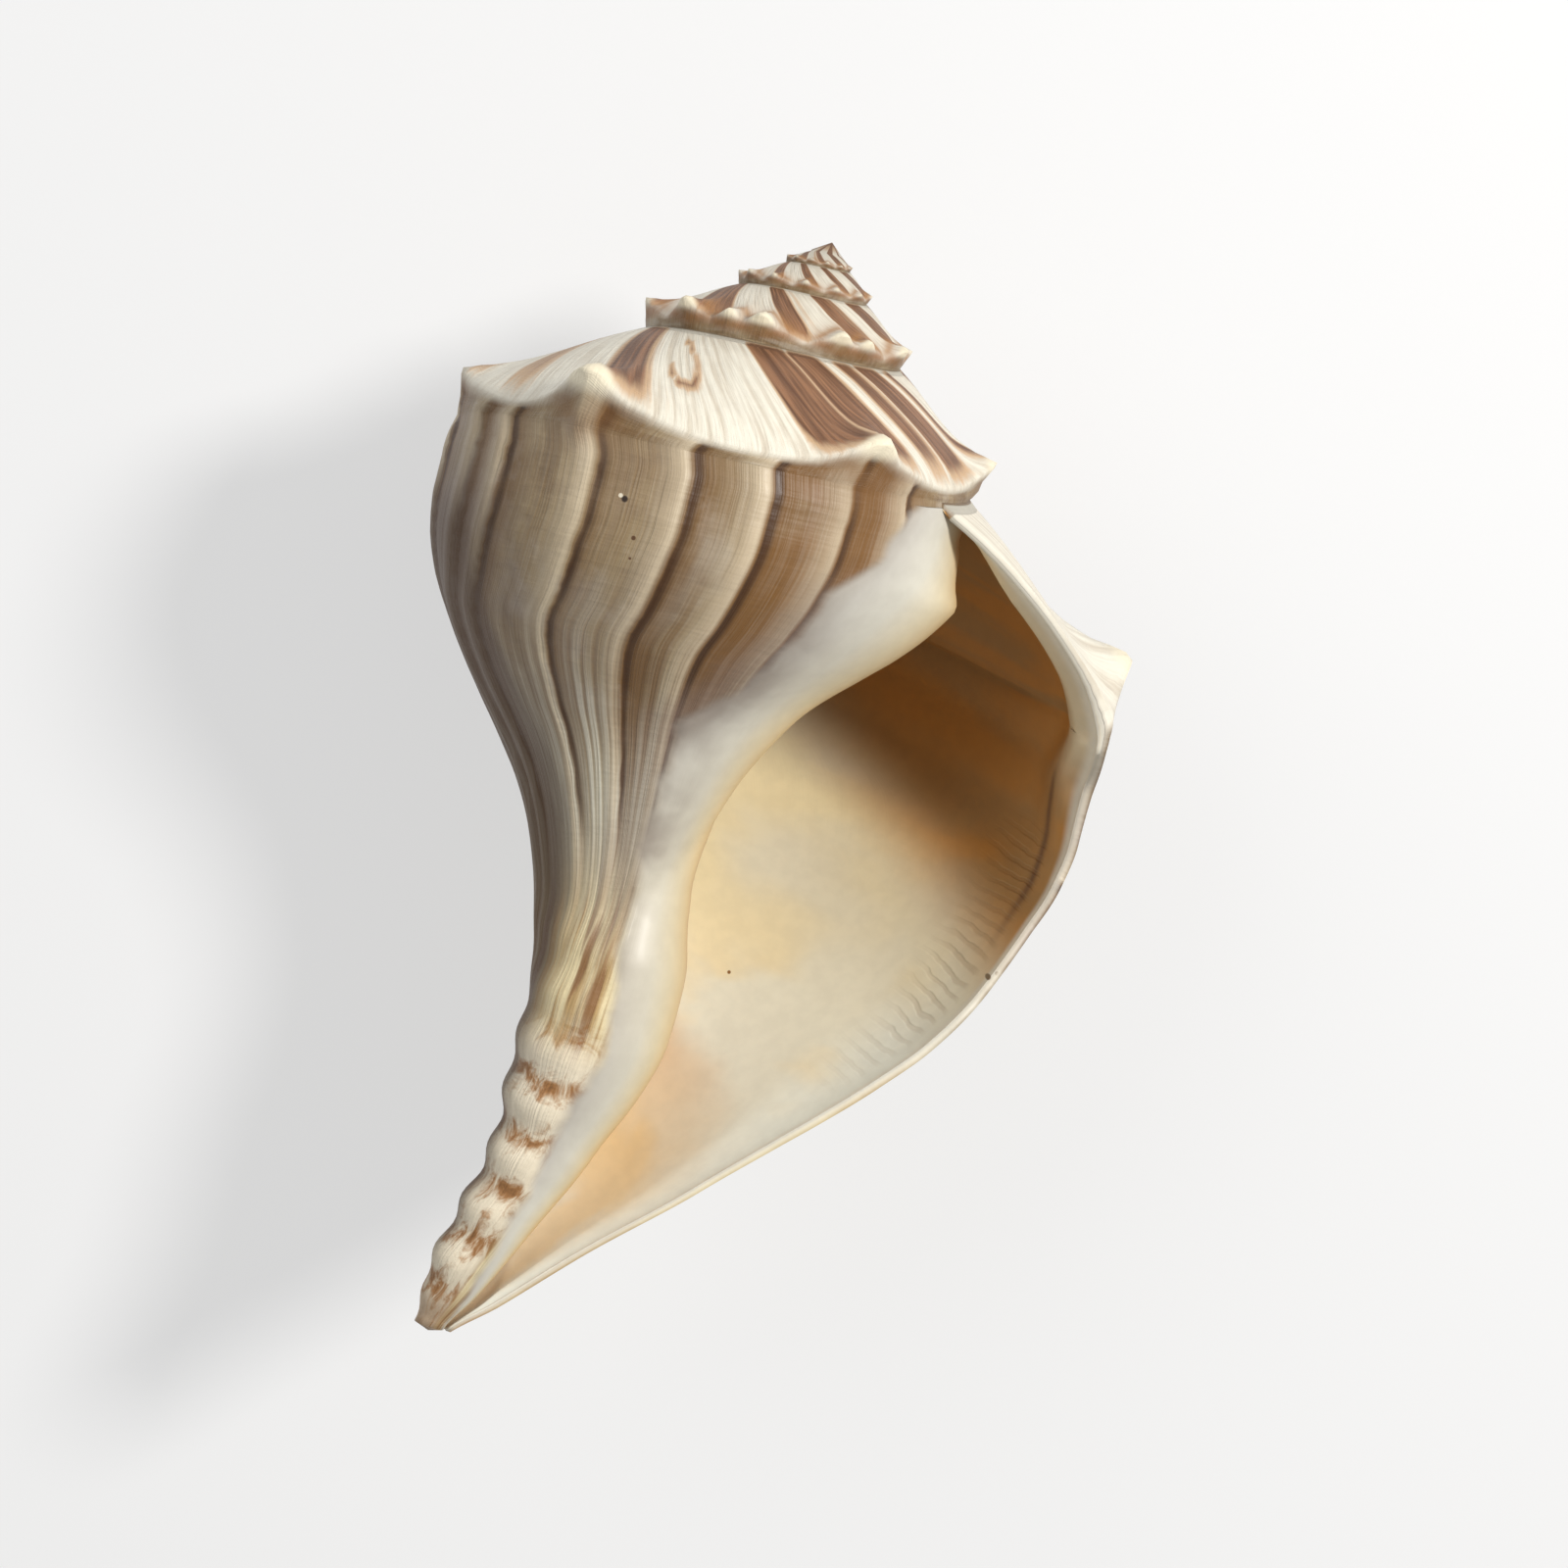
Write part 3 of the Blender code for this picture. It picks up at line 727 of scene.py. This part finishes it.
def side_colour(n, f, g):
    """The side of the last turn, with a dark line and a pale welt at each rest in the growth."""
    side = n.between(g.broad, 0.34, 0.66, "side brown", "side grey")
    side = n.tint(side, n.step(g.streak, 0.56, 0.8), 0.2, "streak cream")
    side = n.tint(side, n.step(g.streak, 0.44, 0.28), 0.3, "streak brown")
    side = n.tint(side, n.step(g.patch, 0.5, 0.66), 0.6, "patch grey")
    side = n.tint(side, n.step(g.patch, 0.48, 0.32), 0.55, "patch brown")
    side = n.tint(side, n.step(g.blotch, 0.5, 0.36), 0.35, "blotch brown")
    side = n.tint(side, n.step(g.blotch, 0.54, 0.68), 0.35, "blotch grey")

    # Ochre next to the glaze, painted shade in dark brown further back towards the left side, and violet
    # grey between them
    ochre = n.times(n.within(f.line, 38.0, 50.0, 81.0, 89.0), n.step(g.cloud, 0.2, 0.42))
    side = n.tint(side, ochre, 0.85, "ochre")
    side = n.tint(side, n.step(f.line, 132.0, 170.0), 0.6, "painted back shade")
    violet = n.times(n.step(g.cloud, 0.5, 0.66), n.step(f.along, 1.02, 1.12), n.step(f.line, 90.0, 125.0))
    side = n.tint(side, violet, 0.5, "violet grey")
    side = n.tint(side, n.step(g.fine, 0.42, 0.68), 0.09, "hair cream")
    side = n.tint(side, n.step(g.spiral, 0.55, 0.7), 0.1, "thread brown")

    # Pale towards the canal, where the growth lines gather
    waist = n.step(n.swayed(f.along, g.broad, 0.16), 1.22, 1.38)
    side = n.tint(side, waist, 0.9, n.between(g.streak, 0.4, 0.62, "waist grey", "waist cream"))
    on_side = n.within(f.along, 0.72, 0.84, 1.34, 1.52)
    side = n.tint(side, n.times(stop_ramps(n, f.line, PALE_MARK), on_side), 0.7, "welt cream")
    gather = n.times(n.bell(f.along, 1.27, 0.08), n.step(g.streak, 0.6, 0.4))
    side = n.tint(side, gather, 0.55, "gather brown")

    strength = n.plus(n.times(n.step(g.uneven, 0.25, 0.6), 0.2), 0.8)
    dark = n.times(stop_ramps(n, f.line, DARK_MARK), on_side, strength)
    return n.mix(dark, side, n.between(dark, 0.45, 0.9, "rest brown", "rest dark"))


def canal_colour(n, f, g):
    """The canal's outside: yellow cream, streaked brown, and the lumpy ridge."""
    canal = n.between(g.run, 0.38, 0.6, "canal tan", "canal cream")
    brown_run = n.stretched(f.angle, 0.07, f.depth, 0.03, layer=8.0, detail=4.0)
    canal = n.tint(canal, n.step(brown_run, 0.5, 0.62), 0.85, "canal brown")
    canal = n.tint(canal, n.step(g.streak, 0.5, 0.7), 0.3, "canal streak")

    # Brown lies unevenly in the hollows between the lumps
    turned = n.plus(f.depth, n.times(f.angle, LUMP_SLANT))
    crest = n.math("COSINE", n.times(turned, 2.0 * math.pi / LUMP_SPACING))
    stain = n.stretched(
        f.depth, 0.24, f.angle, 0.045, layer=9.0, detail=5.0, roughness=0.65, distortion=0.8,
    )
    crest = n.swayed(n.times(crest, 0.55), stain, 7.0)
    lumps = n.between(crest, 0.4, -1.2, "lump cream", "lump tan")
    lumps = n.tint(lumps, n.step(crest, -0.8, -1.8), 0.7, "lump brown")
    on_lumps = n.times(n.step(f.depth, 117.0, 128.0), n.within(f.angle, 62.0, 84.0, 196.0, 222.0))
    return n.mix(on_lumps, canal, lumps)


def slope_colour(n, f, g):
    """The slope above the shoulder: cream with flames that start at the suture."""
    slope = n.between(g.streak, 0.3, 0.6, "slope grey", "slope cream")
    slope = n.tint(slope, n.step(g.fine, 0.45, 0.75), 0.14, "slope hair")
    stripe = n.swayed(f.stripe, g.streak, 0.5)
    slope = n.tint(slope, n.step(stripe, 0.04, 0.3), 0.75, "flame edge")
    flame = n.between(g.streak, 0.36, 0.66, "flame dark", "flame brown")
    return n.tint(slope, n.step(stripe, 0.26, 0.6), 0.95, flame)


def knobbed(n, f, colour):
    """The colour with brown on the knobs' upper flanks and in the joints of the spire, painted shade under
    the knobs, and cream on their tips that is partly their own pale colour and partly painted highlight.
    """
    # Painted shade under the knobs, below the shoulder
    below = n.times(n.bell(f.knob, 0.5, 0.22), n.step(f.along, 0.7, 0.82))
    colour = n.tint(colour, below, 0.6, "painted knob underside shade")
    above = n.times(n.bell(f.knob, 0.35, 0.2), n.step(f.along, 0.72, 0.6), n.step(f.line, 0.0, -20.0))
    colour = n.tint(colour, above, 0.75, "above knob")
    # Cream on the knobs' tips: partly their own pale colour, partly painted highlight
    colour = n.tint(colour, n.step(f.knob, 0.72, 1.12), 0.9, "pale knob tip and highlight")
    joints = n.times(n.bell(f.knob, 0.5, 0.3), n.step(f.line, 5.0, -20.0), n.bell(f.along, 0.74, 0.12))
    return n.tint(colour, joints, 0.7, "joint tan")


def outside_colour(n, f, g):
    """The whole outside, but for the glaze."""
    on_canal = n.step(n.plus(f.along, n.times(g.streak, 0.16)), 1.47, 1.64)
    side = n.mix(on_canal, side_colour(n, f, g), canal_colour(n, f, g))
    # Dark brown down the left side: partly the canal's own brown edge, partly painted shade where the side
    # turns from the key light
    left_edge_and_shade = n.times(
        n.step(n.plus(f.angle, n.times(g.run, 30.0)), 144.0, 180.0),
        n.step(f.angle, 250.0, 205.0), n.within(f.depth, 42.0, 58.0, 150.0, 170.0),
    )
    side = n.tint(side, left_edge_and_shade, 0.88, "left side brown and shade")
    side = n.tint(side, n.step(f.depth, 162.0, 168.0), 0.6, "tip tan")
    over_shoulder = n.step(n.swayed(f.along, g.streak, 0.08), 0.7, 0.86)
    return knobbed(n, f, n.mix(over_shoulder, slope_colour(n, f, g), side))


def glaze_colour(n, f, g, within_edge):
    """The glaze beside the mouth, violet grey at its outer edge and orange towards the hollow, with painted
    shade: duller about the column, where it faces the key light, and darker orange brown inside the hollow.
    """
    stops = [(position, srgb(*colour)) for position, colour in GLAZE_STOPS]
    glaze = n.ramp(n.math("DIVIDE", f.inward, 1.6), stops)
    # Painted shade: the glaze dulled to a darker cream about the column's depth, where it faces the key
    # light
    glaze = n.tint(glaze, n.bell(f.depth, 104.0, 24.0), 0.4, "column cream")
    violet = n.times(
        n.step(g.cloud, 0.4, 0.58), n.step(within_edge, 9.0, 1.0),
        n.step(f.depth, 48.0, 62.0, 0.2, 0.75), n.step(f.depth, 112.0, 92.0, 0.2, 1.0),
    )
    glaze = n.mix(violet, glaze, "glaze violet")
    # Painted shade: darker orange brown deeper inside the hollow
    return n.mix(n.step(f.inward, 1.15, 1.6), glaze, "painted hollow shade")


def teeth(n, f, g):
    """Fine teeth that stand in a band inside the lip."""
    tooth = n.math("COSINE", n.plus(n.times(f.along, 340.0), n.times(g.cloud, 16.0)))
    band = n.times(n.within(f.lip, 4.0, 8.0, 11.0, 25.0), n.within(f.along, 1.12, 1.2, 1.36, 1.6))
    return n.times(n.step(tooth, 0.0, 0.9), band, f.mouth)


def mouth_colour(n, f, g, tooth):
    """The inside of the mouth: painted shade in orange brown in its upper depth, where the lip's shadow
    falls; lighter and cooler down and towards the lip, partly its own colour and partly painted light.
    """
    swirl = n.stretched(f.angle, 0.02, f.along, 5.0, layer=23.0, distortion=0.5)
    wall = n.between(swirl, 0.38, 0.62, "wall yellow", "wall cream")
    # Lighter down the wall and towards the lower lip: partly the wall's own pale colour, partly painted
    # light where the lower wall faces away from the key light
    lower = n.between(swirl, 0.42, 0.6, "lower cream", "lower green")
    wall = n.mix(n.step(n.swayed(f.depth, swirl, 14.0), 88.0, 138.0), wall, lower)
    near_lip = n.times(n.step(f.lip, 26.0, 3.0), n.step(f.along, 1.24, 1.5))
    wall = n.mix(near_lip, wall, "lip pale")
    # Painted shade: orange brown high on the wall's right, where the lip's shadow falls, placed by where the
    # wall lies as seen from the front
    painted_shade = n.between(swirl, 0.4, 0.62, "painted_shade", "painted shade brown")
    height = n.less(f.depth, n.times(n.less(f.across, 20.0), 0.65))
    wall = n.tint(wall, n.step(height, 80.0, 60.0), 0.92, painted_shade)

    # Under the upper lip: a pale band, then a dark line behind it, and the teeth lower down
    upper = n.times(n.step(f.lip, 13.0, 4.0), n.step(f.along, 1.12, 0.98))
    wall = n.tint(wall, upper, 0.85, "upper cream")
    dark_line = n.times(n.bell(f.lip, 7.2, 1.1), n.within(f.along, 1.02, 1.1, 1.2, 1.33))
    wall = n.tint(wall, dark_line, 0.8, "lip purple")
    wall = n.tint(wall, tooth, 0.22, "tooth brown")

    # Painted shade: warmer and darker in the crease where the wall meets the column
    crease = n.swayed(f.crease, g.cloud, 26.0)
    yellow = n.times(n.step(crease, 52.0, 16.0), n.bell(f.depth, 134.0, 12.0))
    wall = n.tint(wall, yellow, 0.5, "painted crease shade yellow")
    orange = n.times(n.step(crease, 50.0, 24.0), n.bell(f.depth, 114.5, 11.5))
    wall = n.tint(wall, orange, n.step(swirl, 0.25, 0.5, 0.7, 0.9), "painted crease shade orange")
    return n.tint(wall, n.step(f.lip, 2.6, 0.8), 0.85, "rim cream")


def marked(n, f, colour):
    """The colour with the small pits and specks of MARKS on it."""
    for x, y, size, in_mouth, mark_colour in MARKS:
        across, down = n.less(f.across, x), n.less(f.down, y)
        away = n.plus(n.times(across, across), n.times(down, down))
        here = n.times(n.step(away, size * size * 1.6, size * size * 0.5), f.front)
        here = n.times(here, f.mouth if in_mouth else n.less(1.0, f.mouth))
        colour = n.mix(here, colour, srgb(*mark_colour))
    return colour


def shell_material():
    material = bpy.data.materials.new("shell")
    material.use_nodes = True
    tree = material.node_tree
    shader = tree.nodes["Principled BSDF"]
    n = Nodes(tree)
    f = SimpleNamespace(**{name: n.fact(name) for name in FACTS})
    g = shared_noises(n, f)
    tooth = teeth(n, f, g)

    within_edge = n.swayed(f.glaze, g.cloud, n.step(f.depth, 52.0, 72.0, 2.5, 8.0))
    glazed = n.step(within_edge, -1.0, 1.4)
    beside = n.times(n.step(within_edge, -8.0, -1.0), n.within(f.depth, 40.0, 56.0, 98.0, 114.0))
    colour = n.tint(outside_colour(n, f, g), beside, 0.5, "beside glaze")
    colour = n.mix(glazed, colour, glaze_colour(n, f, g, within_edge))
    colour = n.mix(f.mouth, colour, mouth_colour(n, f, g, tooth))
    colour = n.tint(colour, n.step(g.grain, 0.3, 0.7), 0.06, "grain")
    tree.links.new(marked(n, f, colour), shader.inputs["Base Color"])

    glossy = n.math("MAXIMUM", glazed, f.mouth)
    rough = n.less(n.plus(n.times(g.cloud, 0.16), 0.42), n.times(glossy, 0.08))
    tree.links.new(rough, shader.inputs["Roughness"])

    relief = n.plus(n.times(g.fine, 0.28), n.times(g.streak, 0.55))
    relief = n.plus(n.plus(relief, n.times(g.lumpy, 0.45)), n.times(g.spiral, 0.16))
    relief = n.times(relief, n.less(1.0, n.times(glossy, 0.93)))
    relief = n.less(relief, n.times(tooth, 0.25))
    bump = n.put("ShaderNodeBump", {"Height": relief, "Strength": 0.75, "Distance": 0.0006})
    tree.links.new(bump.outputs["Normal"], shader.inputs["Normal"])
    shader.inputs["Coat Weight"].default_value = 0.05
    shader.inputs["Coat Roughness"].default_value = 0.22
    shader.inputs["Specular IOR Level"].default_value = 0.34
    return material


def flames(line, along):
    """How dark the flames on the slope are: the listed ones, one hooked mark, and waves up the spire."""
    dark = np.zeros(line.shape)
    for low, high, level in FLAMES:
        band = smooth_step(line, low - 5.0, low + 1.0) * (1.0 - smooth_step(line, high - 1.2, high + 0.4))
        dark = np.maximum(dark, level * band)
    turn = np.radians(line)
    wave = np.sin(turn * 9.0 + 0.7 * np.sin(turn * 2.3)) + 0.5 * np.sin(turn * 21.0)
    on_spire = smooth_step(wave, 0.1, 0.5) * (1.0 - smooth_step(line, 0.0, 10.0)) * SPIRE_FLAME
    reach = 1.0 - smooth_step(along, 0.45, 0.78)
    from_ring = np.hypot((line - HOOK_LINE) / HOOK_WIDE, (along - HOOK_ALONG) / HOOK_LONG) - 1.0
    open_ring = ((line < HOOK_LINE) | (along > 0.3)) * (line < HOOK_LINE + 4.0)
    hook = HOOK_LEVEL * np.exp(-((from_ring / HOOK_STROKE) ** 2)) * open_ring
    return np.maximum(np.maximum(dark, on_spire) * reach, hook) * (along < 0.999)


def make_shell():
    body = shell_body()
    points = rest_on_back(np.array(body.points))
    points = np.clip(points, np.array(cad_box[0]) + INSET, np.array(cad_box[1]) - INSET)
    mesh = bpy.data.meshes.new("whelk")
    mesh.from_pydata(points.tolist(), [], body.faces)
    facts = {name: np.array(values, float) for name, values in body.facts.items()}
    facts["stripe"] = flames(facts["line"], facts["along"])
    for name, values in facts.items():
        layer = mesh.attributes.new(name, "FLOAT", "POINT")
        layer.data.foreach_set("value", values.astype(np.float32))
    mesh.materials.append(shell_material())
    mesh.update()
    shell = bpy.data.objects.new("whelk", mesh)
    bpy.context.scene.collection.objects.link(shell)
    bpy.context.view_layer.objects.active = shell
    shell.select_set(True)
    bpy.ops.object.mode_set(mode="EDIT")
    bpy.ops.mesh.select_all(action="SELECT")
    bpy.ops.mesh.delete_loose()
    bpy.ops.mesh.select_all(action="SELECT")
    bpy.ops.mesh.normals_make_consistent(inside=False)
    bpy.ops.object.mode_set(mode="OBJECT")
    mesh.shade_smooth()
    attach(shell, "root")
    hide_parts("whelk_shell")
    return shell


# The camera looks down on the shell as the photographer looked at its mouth: how far the shell's axis leans
# in the picture and how far the camera leans towards the apex, in degrees, and where the apex is
TILT = 18.5
TOWARDS_APEX = 3.0
MM_PER_PIXEL = 0.143
APEX_PIXEL = (850.0, 245.0)
IMAGE_PIXELS = 1600.0
LENS = 135.0
SENSOR = 36.0

# Lights, as (right, up and back of the picture, distance, size, power, colour), in metres and watts
KEY = ((0.86, 0.24, 1.12), 1.1, 0.24, 11.8, (1.0, 0.98, 0.95))
FILL = ((-0.6, 0.45, 0.9), 1.3, 0.9, 4.0, (0.98, 0.99, 1.0))
LIT_POINT = Vector((0.0, 0.0, 0.04))
SKY = 0.36

FLOOR_HALF_SIZE = 3.0
FLOOR_GREY = 0.3
FLOOR_GLOW = 0.52


def camera_axes():
    """The camera's right, up and back in the shell's resting frame."""
    tilt, nod = math.radians(TILT), math.radians(TOWARDS_APEX)
    right = Vector((math.cos(tilt), math.sin(tilt), 0.0))
    back = Vector((0.0, math.sin(nod), math.cos(nod)))
    up = back.cross(right).normalized()
    right = up.cross(back).normalized()
    turn = Euler((math.radians(REST_PITCH), math.radians(REST_ROLL), 0.0)).to_matrix()
    return turn @ right, turn @ up, turn @ back


def make_camera():
    right, up, back = camera_axes()
    across = (IMAGE_PIXELS / 2 - APEX_PIXEL[0]) * MM_PER_PIXEL
    down = (IMAGE_PIXELS / 2 - APEX_PIXEL[1]) * MM_PER_PIXEL
    apex = Vector(rest_on_back(np.zeros((1, 3)))[0])
    target = apex + (right * across - up * down) * MM
    distance = IMAGE_PIXELS * MM_PER_PIXEL * MM * LENS / SENSOR
    data = bpy.data.cameras.new("camera")
    data.lens = LENS
    data.sensor_width = SENSOR
    data.dof.use_dof = False
    camera = bpy.data.objects.new("camera", data)
    pose = Matrix((right, up, back)).transposed().to_4x4()
    pose.translation = target + back * distance
    camera.matrix_world = pose
    bpy.context.scene.collection.objects.link(camera)
    bpy.context.scene.camera = camera


def make_light(name, direction, distance, size, power, colour):
    data = bpy.data.lights.new(name, "AREA")
    data.shape = "DISK"
    data.size = size
    data.energy = power
    data.color = colour
    light = bpy.data.objects.new(name, data)
    right, up, back = camera_axes()
    towards = (right * direction[0] + up * direction[1] + back * direction[2]).normalized()
    light.location = towards * distance
    light.rotation_euler = (LIT_POINT - towards * distance).to_track_quat("-Z", "Y").to_euler()
    bpy.context.scene.collection.objects.link(light)


def make_floor():
    far = FLOOR_HALF_SIZE
    mesh = bpy.data.meshes.new("floor")
    corners = [(-far, -far, 0.0), (far, -far, 0.0), (far, far, 0.0), (-far, far, 0.0)]
    mesh.from_pydata(corners, [], [(0, 1, 2, 3)])
    material = bpy.data.materials.new("floor")
    material.use_nodes = True
    shader = material.node_tree.nodes["Principled BSDF"]
    shader.inputs["Base Color"].default_value = (FLOOR_GREY, FLOOR_GREY, FLOOR_GREY, 1.0)
    shader.inputs["Emission Color"].default_value = (1.0, 1.0, 1.0, 1.0)
    shader.inputs["Emission Strength"].default_value = FLOOR_GLOW
    shader.inputs["Roughness"].default_value = 0.6
    mesh.materials.append(material)
    floor = bpy.data.objects.new("floor", mesh)
    bpy.context.scene.collection.objects.link(floor)


def light_scene():
    make_light("key", *KEY)
    make_light("fill", *FILL)
    world = bpy.data.worlds.new("studio")
    world.use_nodes = True
    background = world.node_tree.nodes["Background"]
    background.inputs["Color"].default_value = (1.0, 1.0, 1.0, 1.0)
    background.inputs["Strength"].default_value = SKY
    bpy.context.scene.world = world


bpy.context.scene.view_settings.view_transform = "Standard"
make_shell()
make_floor()
make_camera()
light_scene()
